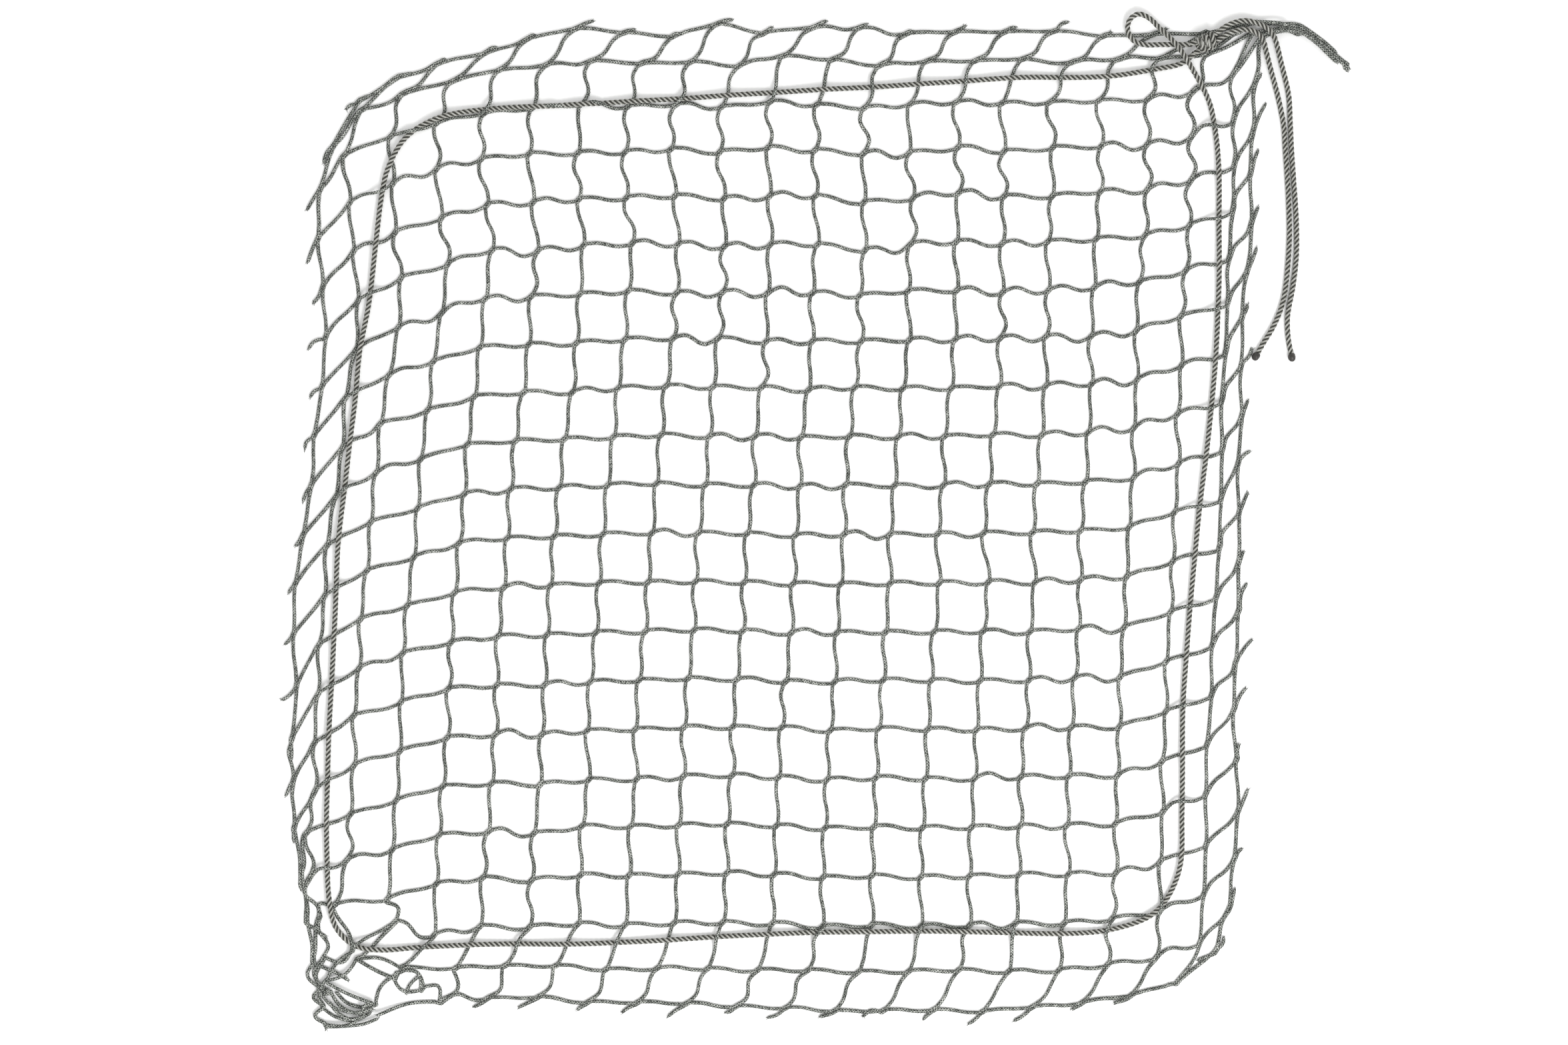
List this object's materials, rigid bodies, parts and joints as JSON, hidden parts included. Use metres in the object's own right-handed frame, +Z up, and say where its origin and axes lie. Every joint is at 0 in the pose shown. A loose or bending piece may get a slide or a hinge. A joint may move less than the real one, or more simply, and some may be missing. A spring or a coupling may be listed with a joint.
{
  "type": "hay net",
  "caption": "Small-mesh hay net laid flat: a square of knotless netting with a laid rope drawstring threaded round it, a slip knot and two tails.",
  "frame": {"origin": "centre of the footprint of the netting, knot and bow loop, without the free tails, on the surface the net lies on", "axes": "+Z up from the surface; +X towards the side with the free tails; +Y towards the edge with the knot and the bow loop"},
  "size_m": [0.9836, 0.929, 0.0172],
  "materials": {
    "netting_twine": "knitted polyethylene twine, grey-green with light and dark stitches",
    "laid_rope": "three-strand laid polypropylene rope, warm grey, slightly glossy",
    "melted_rope": "melted and hardened polypropylene, dark, slightly glossy"
  },
  "bodies": {
    "root": {"drawstring_far_side": "laid_rope", "drawstring_far_left_corner": "laid_rope", "drawstring_left_side": "laid_rope", "drawstring_near_left_corner": "laid_rope", "drawstring_near_side": "laid_rope", "drawstring_near_right_corner": "laid_rope", "drawstring_right_side": "laid_rope", "drawstring_far_right_corner": "laid_rope", "strand_across_01": "netting_twine", "strand_down_01": "netting_twine", "strand_across_02": "netting_twine", "strand_down_02": "netting_twine", "strand_across_03": "netting_twine", "strand_down_03": "netting_twine", "strand_across_04": "netting_twine", "strand_down_04": "netting_twine", "strand_across_05": "netting_twine", "strand_down_05": "netting_twine", "strand_across_06": "netting_twine", "strand_down_06": "netting_twine", "strand_across_07": "netting_twine", "strand_down_07": "netting_twine", "strand_across_08": "netting_twine", "strand_down_08": "netting_twine", "strand_across_09": "netting_twine", "strand_down_09": "netting_twine", "strand_across_10": "netting_twine", "strand_down_10": "netting_twine", "strand_across_11": "netting_twine", "strand_down_11": "netting_twine", "strand_across_12": "netting_twine", "strand_down_12": "netting_twine", "strand_across_13": "netting_twine", "strand_down_13": "netting_twine", "strand_across_14": "netting_twine", "strand_down_14": "netting_twine", "strand_across_15": "netting_twine", "strand_down_15": "netting_twine", "strand_across_16": "netting_twine", "strand_down_16": "netting_twine", "strand_across_17": "netting_twine", "strand_down_17": "netting_twine", "strand_across_18": "netting_twine", "strand_down_18": "netting_twine", "strand_across_19": "netting_twine", "strand_down_19": "netting_twine", "strand_across_20": "netting_twine", "strand_down_20": "netting_twine", "strand_across_21": "netting_twine", "strand_down_21": "netting_twine", "strand_across_22": "netting_twine", "strand_down_22": "netting_twine", "drawstring_slip_knot": "laid_rope", "drawstring_bow_loop": "laid_rope", "drawstring_tail_a": "laid_rope", "drawstring_tail_b": "laid_rope", "melted_end_a": "melted_rope", "melted_end_b": "melted_rope"}
  },
  "joints": []
}
